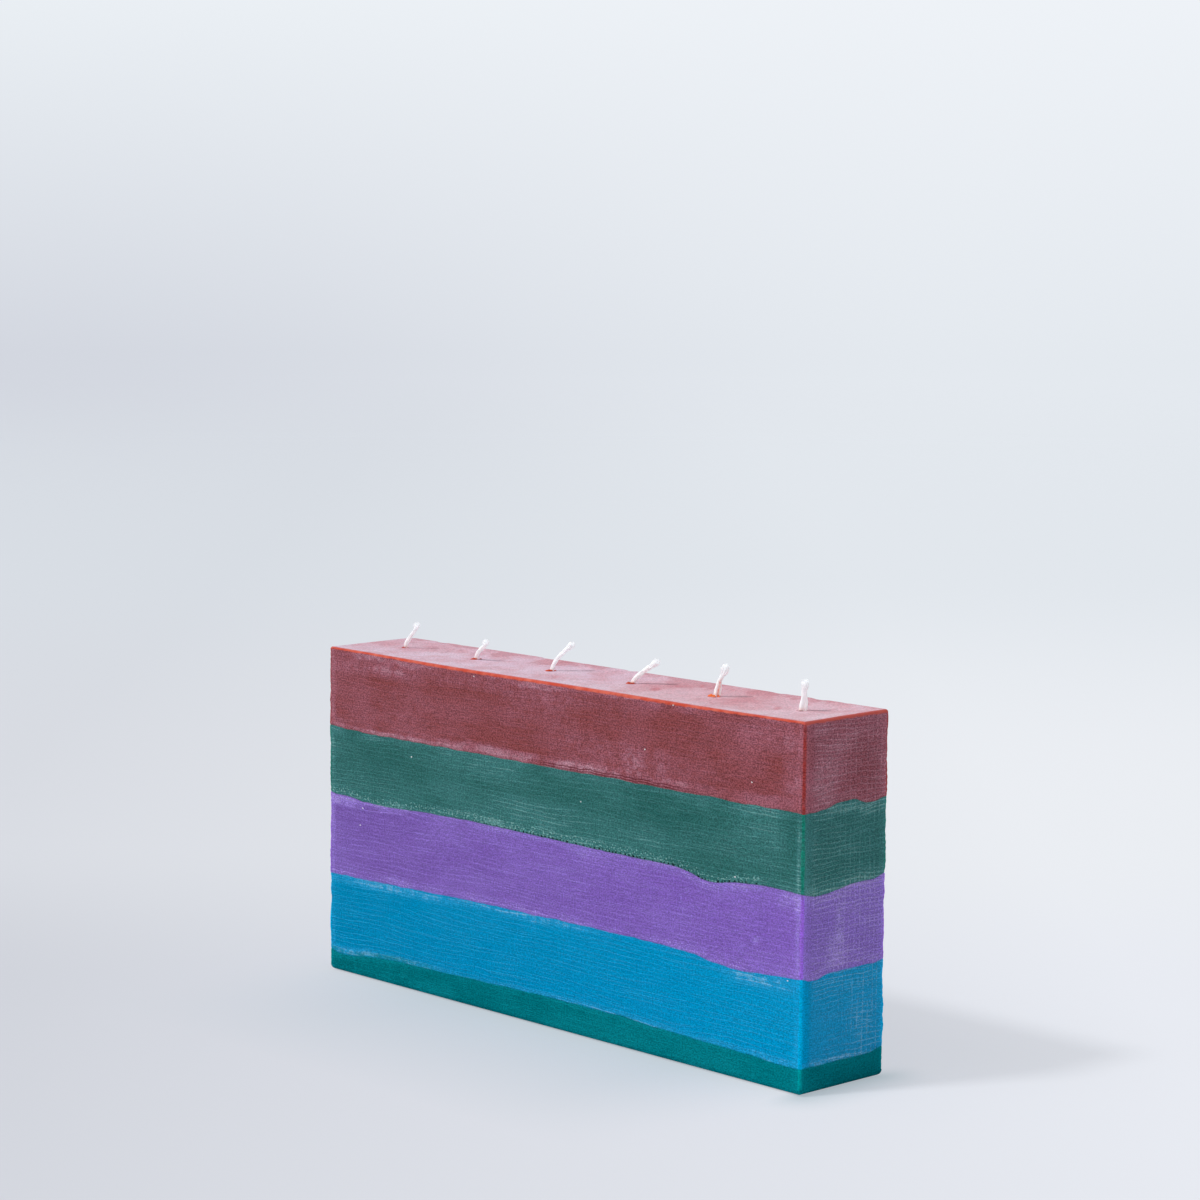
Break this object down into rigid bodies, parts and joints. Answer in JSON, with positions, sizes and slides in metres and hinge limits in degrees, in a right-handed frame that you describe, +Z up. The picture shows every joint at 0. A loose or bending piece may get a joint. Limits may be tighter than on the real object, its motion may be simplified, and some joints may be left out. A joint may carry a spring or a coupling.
{
  "type": "multi-wick block candle",
  "caption": "Free-standing rectangular block candle poured in coloured wax stripes, with a row of cotton wicks standing along its flat top.",
  "frame": {"origin": "centre of the block's underside", "axes": "+X along the block's length, +Y across its thickness, +Z up"},
  "size_m": [0.24, 0.04, 0.1325],
  "materials": {
    "base_green_wax": "smooth emerald wax with a faint haze",
    "blue_wax": "cyan-blue wax with fine level mould lines and a pale bloom",
    "purple_wax": "violet wax with fine level mould lines and a pale bloom",
    "dark_green_wax": "deep teal-green wax with fine level mould lines and a pale bloom",
    "top_red_wax": "brick-red wax with a dusty pink bloom and bright arrises",
    "wick_cotton": "white braided cotton, waxed at its foot",
    "wick_tinplate": "bright pressed tinplate"
  },
  "bodies": {
    "root": {"base_green_layer": "base_green_wax", "blue_layer": "blue_wax", "purple_layer": "purple_wax", "dark_green_layer": "dark_green_wax", "top_red_layer": "top_red_wax", "wick_1": "wick_cotton", "wick_2": "wick_cotton", "wick_3": "wick_cotton", "wick_4": "wick_cotton", "wick_5": "wick_cotton", "wick_6": "wick_cotton", "wick_sustainer_1": "wick_tinplate", "wick_sustainer_2": "wick_tinplate", "wick_sustainer_3": "wick_tinplate", "wick_sustainer_4": "wick_tinplate", "wick_sustainer_5": "wick_tinplate", "wick_sustainer_6": "wick_tinplate"}
  },
  "joints": []
}
